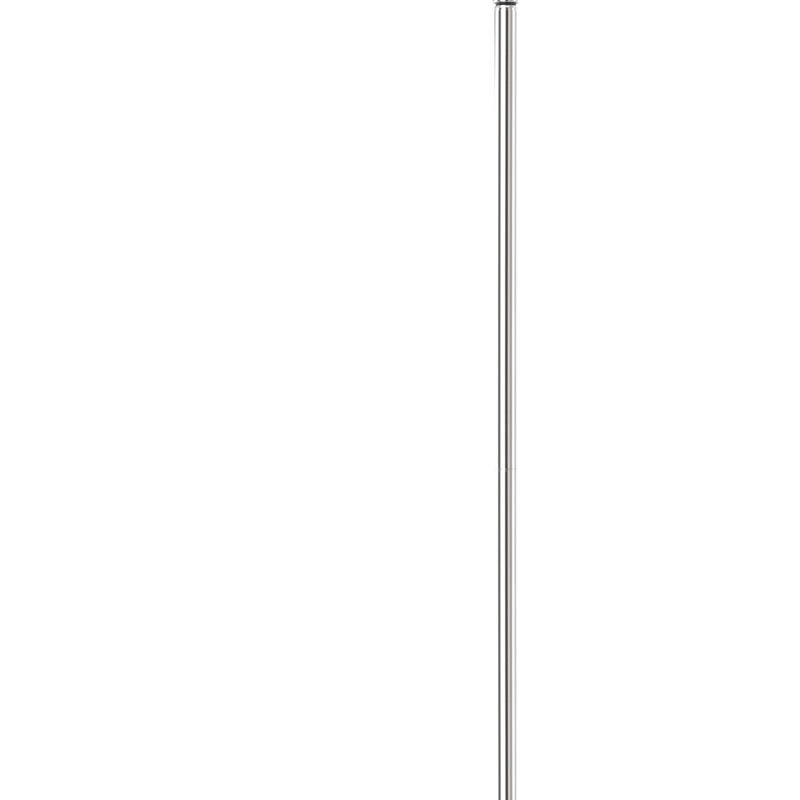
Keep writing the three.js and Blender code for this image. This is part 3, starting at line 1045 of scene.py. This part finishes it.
def plate_screw(number):
    """A button-head screw with a hexagon socket, seen from below."""
    node = f"bottom_plate_screw_{number}"
    box_low, box_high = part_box(node)
    middle = (box_low + box_high) / 2
    head = (box_high.x - box_low.x) / 2 / MM
    bottom, top = span(node)
    seat = low("bottom_plate") - CONTACT
    key, key_across, key_top = 1.7, 3.0, bottom + 1.4
    shank, chamfer = 2.5, 0.6
    corners = [
        [0, key_top, 0],
        [key, key_top, 0],
        [key, bottom, 0],
        [head - 1.8, bottom, 0.8],
        [head, bottom + 1.6, 0.5],
        [head, seat, 0.2],
        [shank, seat, 0],
        [shank, top - chamfer, 0],
        [shank - chamfer, top, 0],
        [0, top, 0],
    ]
    place = Matrix.Translation((middle.x, middle.y, 0))
    carve = hexagon(key_across, key + 0.05)
    show(node, fillet(corners, closed=False), ZINC_STEEL, place, segments=72, carve=carve)


def tie_washer():
    """The plain washer under the tie bolt's head."""
    node = "tie_washer"
    outline = sleeve(TIE_HOLE, outer(node), *span(node), (0.2, 0.5, 0.5, 0.2))
    show(node, outline, ZINC_STEEL)


def tie_spring_washer():
    """The split washer between the tie bolt's head and the plain washer."""
    node = "tie_spring_washer"
    thickness, side = 2.1, 0
    heights = (high(node) - thickness, low(node), thickness)
    spring_washer(node, TIE_HOLE, heights, side, ZINC_STEEL)


def tie_bolt():
    """The M12 hexagon bolt that pulls the socket onto the base."""
    node = "tie_bolt"
    bottom, top = span(node)
    corner, across, head_top = 10.95, 19.0, bottom + 7.5
    shank, pitch, depth = 6.0, 1.75, 1.0
    start, end = head_top + 8.2, top - 1.2
    corners = [
        [0, bottom, 0],
        [8.6, bottom, 0.4],
        [corner, bottom + 1.3, 0.2],
        [corner, head_top, 0.2],
    ]
    outline = fillet(corners, closed=False)
    outline += [(shank, head_top), (shank, head_top + 8)]
    outline += threaded_end(shank, start, end, top, 1, pitch / 8)
    head, screw = hexagon(across, corner + 1), thread(shank, pitch, depth, start, end)

    def carve(r, z, angle):
        return head(r, z, angle) if z < head_top + TINY else screw(r, z, angle)

    show(node, outline, ZINC_STEEL, segments=72, carve=carve)


def floor_ring():
    """The rubber ring under the stand, with a groove in its underside and a fine one round its side."""
    node = "floor_ring"
    radius, inner = outer(node), 134.5
    top = high(node) + CAD_GAP - CONTACT
    corners = [
        [inner, 0, 0.6],
        [138.5, 0, 0.2],
        [139, 0.8, 0.2],
        [142, 0.8, 0.2],
        [142.5, 0, 0.2],
        [radius - 1.6, 0, 0.8],
        [radius, 1.6, 0.6],
        [radius, 2.6, 0.2],
        [radius - 0.5, 2.9, 0.1],
        [radius, 3.2, 0.2],
        [radius, top, 0.5],
        [inner, top, 0.5],
    ]
    show(node, fillet(corners), BLACK_RUBBER, segments=WIDE_SEGMENTS)


# -------- studio

# Lengths are in metres from here on.
FRAME_HEIGHT = 0.8627  # what the picture shows of the pole
CAMERA_DISTANCE = 4.0
POLE_RIGHT_OF_MIDDLE = 0.1142
SEAM_BELOW_MIDDLE = 0.0753
SENSOR = 36  # the width of the camera's sensor, in millimetres
CLIP_END = 100
SEAM = (high("pole_tube_3") + low("pole_tube_4")) / 2 * MM


def camera():
    """A level camera that looks along +Y at the upper two tubes."""
    data = bpy.data.cameras.new("camera")
    data.sensor_width = SENSOR
    data.lens = SENSOR * CAMERA_DISTANCE / FRAME_HEIGHT
    data.clip_end = CLIP_END
    made = bpy.data.objects.new("camera", data)
    made.location = (-POLE_RIGHT_OF_MIDDLE, -CAMERA_DISTANCE, SEAM + SEAM_BELOW_MIDDLE)
    made.rotation_euler = (math.pi / 2, 0, 0)
    bpy.context.scene.collection.objects.link(made)
    bpy.context.scene.camera = made


# The studio that the chrome reflects: a round white wall with dark and grey cards on it. Each stop is a
# direction in degrees, 0 towards the camera and 90 to its right, and the brightness there.
CARDS = [
    (-180, 1.0),
    (-89, 1.0),
    (-82, 0.1),
    (-60, 0.1),
    (-52, 1.0),
    (-14, 1.0),
    (-8, 0.05),
    (14, 0.05),
    (19, 0.64),
    (33, 0.64),
    (38, 0.32),
    (58, 0.32),
    (66, 1.0),
    (86, 1.0),
    (92, 0.52),
    (118, 0.52),
    (126, 1.0),
    (180, 1.0),
]
CARD_TINT = (1.05, 1.0, 0.94)
# The cards shift to the right by this many degrees times the square of the distance from the seam.
CARD_LEAN = 12
# The cards behind. Each has its middle and half its width in degrees, the two heights between which it
# changes, and how dark it is below and above them.
BACK_CARDS = [(-143, 25, (2.09, 2.32), (0, 0.6)), (180, 17, (0.8, 1.3), (0.25, 0.78))]
BACK_CARD_EDGE = 4  # how soft their edges are, in degrees
WALL_RADIUS = 2.0
WALL_HEIGHT = 3.6
WALL_LIGHT = 1.12
WALL_FOOT = (0.15, 0.95)  # between these heights the wall is dimmed
WALL_DIMMING = (0.35, 1.0)  # from this share to that one
ABOVE_FLOOR = 0.002  # the wall and the floor's cards start this high
FLOOR_CARDS_START = (0.2, 0.45)  # how far from the axis the floor's cards fade in
FLOOR_CARDS_DIM = (0.4, 1.4)  # and how far out they get darker
FLOOR_CARDS_LIGHT = (0.85, 0.45)  # from this strength to that one


def stage_mesh(name, vertices, faces, look):
    """Adds a surface that is not part of the object."""
    mesh = bpy.data.meshes.new(name)
    mesh.from_pydata(vertices, [], faces)
    mesh.materials.append(look.material)
    made = bpy.data.objects.new(name, mesh)
    bpy.context.scene.collection.objects.link(made)
    return made


def only_reflected(piece):
    """Makes a stage surface show in reflections and nowhere else."""
    piece.visible_camera = piece.visible_diffuse = piece.visible_shadow = False
    piece.visible_transmission = piece.visible_volume_scatter = False


def circle(radius, height, count=96):
    """Points round the axis, in metres."""
    angles = [TAU * k / count for k in range(count)]
    return [(radius * math.sin(a), -radius * math.cos(a), height) for a in angles]


def band_between(name, first, second, look):
    """A surface between two circles of points."""
    count = len(first)
    faces = [[k, (k + 1) % count, count + (k + 1) % count, count + k] for k in range(count)]
    return stage_mesh(name, first + second, faces, look)


class Glow(Look):
    """A stage material that gives off the pattern of the cards."""

    def __init__(self, name):
        super().__init__(name, (0, 0, 0), 1)
        self.shader.inputs["Specular IOR Level"].default_value = 0
        self.point = self.split(self.place())
        self.degrees = self.bearing(self.point)

    def shine(self, strength, lean=0):
        """Shows the cards, at a strength that varies over the surface."""
        pattern = self.ramp(self.math("SUBTRACT", self.degrees, lean), CARDS, CARD_TINT)
        self.links.new(pattern, self.shader.inputs["Emission Color"])
        self.feed(strength, self.shader.inputs["Emission Strength"])


def studio_walls():
    """The round wall with its cards. It gets darker towards the floor."""
    look = Glow("walls")
    height = look.point["Z"]
    offset = look.math("SUBTRACT", height, SEAM)
    lean = look.math("MULTIPLY", look.math("MULTIPLY", offset, offset), CARD_LEAN)
    dim = look.between(height, WALL_FOOT, WALL_DIMMING)
    light = look.math("MULTIPLY", dim, WALL_LIGHT)
    for middle, half, heights, darkness in BACK_CARDS:
        off_middle = look.math("PINGPONG", look.math("SUBTRACT", look.degrees, middle), 180)
        on_card = look.between(off_middle, (half - BACK_CARD_EDGE, half), (1, 0))
        dark = look.math("MULTIPLY", on_card, look.between(height, heights, darkness))
        light = look.math("MULTIPLY", light, look.math("SUBTRACT", 1, dark))
    look.shine(light, lean)
    foot, top = circle(WALL_RADIUS, ABOVE_FLOOR), circle(WALL_RADIUS, WALL_HEIGHT)
    only_reflected(band_between("walls", foot, top, look))


def floor_cards():
    """Grey strips on the floor that continue the cards and fade out near the stand."""
    look = Glow("floor_cards")
    distance = look.vector("LENGTH", look.place((1, 1, 0)), output="Value")
    look.shine(look.between(distance, FLOOR_CARDS_DIM, FLOOR_CARDS_LIGHT))
    look.links.new(look.between(distance, FLOOR_CARDS_START, (0, 1)), look.shader.inputs["Alpha"])
    inner, rim = circle(FLOOR_CARDS_START[0], ABOVE_FLOOR), circle(WALL_RADIUS, ABOVE_FLOOR)
    only_reflected(band_between("floor_cards", inner, rim, look))


BACKDROP = 1.02  # the brightness of the background that the camera sees
# The brightness of the room without its soft boxes, by the height above the horizon in degrees.
ROOM = [(-90, 0.8), (0, 1.0), (38, 1.0), (50, 0.45), (90, 0.3)]
# Each soft box: the direction and height of its middle, half its width and half its height, all in
# degrees, and how bright it is.
SOFT_BOXES = [(0, 57, 50, 19, 0.62), (145, 55, 24, 14, 1.0), (-150, 52, 20, 14, 0.9)]
SOFT_BOX_SIDES = 4  # half the width of their soft edges, in degrees
SOFT_BOX_ENDS = 3


def surroundings():
    """A white background for the camera, and a room with soft boxes that lights and is reflected."""
    world = bpy.data.worlds.new("studio")
    bpy.context.scene.world = world
    tree = Tree(world)
    tree.nodes.clear()
    axes = tree.split(tree.node("TexCoord").outputs["Generated"])
    rise = tree.math("MULTIPLY", tree.math("ARCSINE", axes["Z"]), 360 / TAU)
    degrees = tree.bearing(axes)
    light = tree.ramp(rise, ROOM)
    for box in SOFT_BOXES:
        light = tree.math("ADD", light, soft_box(tree, degrees, rise, *box))
    room, backdrop = tree.node("Background"), tree.node("Background")
    tree.links.new(light, room.inputs["Color"])
    backdrop.inputs["Color"].default_value = (1, 1, 1, 1)
    backdrop.inputs["Strength"].default_value = BACKDROP
    choice = tree.node("MixShader")
    tree.links.new(tree.node("LightPath").outputs["Is Camera Ray"], choice.inputs["Fac"])
    tree.links.new(room.outputs[0], choice.inputs[1])
    tree.links.new(backdrop.outputs[0], choice.inputs[2])
    tree.links.new(choice.outputs[0], tree.node("OutputWorld").inputs["Surface"])


def soft_box(tree, degrees, rise, middle, height, half_width, half_height, brightness):
    """The light that one soft box adds in each direction."""
    off_middle = tree.math("PINGPONG", tree.math("SUBTRACT", degrees, middle), 180)
    sides = (half_width - SOFT_BOX_SIDES, half_width + SOFT_BOX_SIDES)
    across = tree.between(off_middle, sides, (1, 0))
    lift = tree.math("ABSOLUTE", tree.math("SUBTRACT", rise, height))
    ends = (half_height - SOFT_BOX_ENDS, half_height + SOFT_BOX_ENDS)
    upwards = tree.between(lift, ends, (brightness, 0))
    return tree.math("MULTIPLY", across, upwards)


FLOOR_COLOR = (0.78, 0.78, 0.775)
FLOOR_RADIUS = 6.5
FLOOR_FADE = (3.0, FLOOR_RADIUS)  # how far from the axis the floor fades into the white background
FLOOR_SIDES = 128


def floor():
    """A plain pale floor that fades into the background."""
    look = Look("floor", FLOOR_COLOR, 1)
    look.shader.inputs["Specular IOR Level"].default_value = 0
    distance = look.vector("LENGTH", look.place(), output="Value")
    look.colour(look.blend(look.between(distance, FLOOR_FADE, (0, 1)), FLOOR_COLOR, (0, 0, 0)))
    look.shader.inputs["Emission Color"].default_value = (1, 1, 1, 1)
    glow = look.between(distance, FLOOR_FADE, (0, BACKDROP))
    look.links.new(glow, look.shader.inputs["Emission Strength"])
    rim = circle(FLOOR_RADIUS, 0, FLOOR_SIDES)
    faces = [[0, 1 + k, 1 + (k + 1) % FLOOR_SIDES] for k in range(FLOOR_SIDES)]
    stage_mesh("floor", [(0, 0, 0), *rim], faces, look)


KEY_PLACE = (-2.2, -2.0, 5.0)
KEY_AIM = (0, 0, 0.3)
KEY_WIDTH = 3.0
KEY_POWER = 90  # watts


def key_light():
    """One large soft light above and to the left, for a soft shadow on the floor."""
    data = bpy.data.lights.new("key", "AREA")
    data.shape = "DISK"
    data.size = KEY_WIDTH
    data.energy = KEY_POWER
    made = bpy.data.objects.new("key", data)
    made.location = KEY_PLACE
    made.rotation_euler = (Vector(KEY_AIM) - made.location).to_track_quat("-Z", "Y").to_euler()
    bpy.context.scene.collection.objects.link(made)


# -------- assembly

camera()
surroundings()
studio_walls()
floor_cards()
floor()
key_light()
bpy.context.scene.view_settings.view_transform = "Standard"

floor_ring()
bottom_plate()
for screw in (1, 2, 3):
    plate_screw(screw)
base_weight()
base_cover()
tie_washer()
tie_spring_washer()
tie_bolt()

socket_flange()
socket_tube()
socket_plug()
lower_bush()
upper_bush()
socket_cap()
clamp_boss()
clamp_pad()
clamp_screw()
clamp_knob()

thrust_pad()
pole_foot()
for section in (1, 2, 3, 4):
    pole_tube(section)
for joint in (1, 2, 3):
    joint_ring(joint)
    male_insert(joint)
    female_insert(joint + 1)
top_plug()

finial_washer()
finial_base()
finial_stud()
finial_ball_insert()
finial_ball()
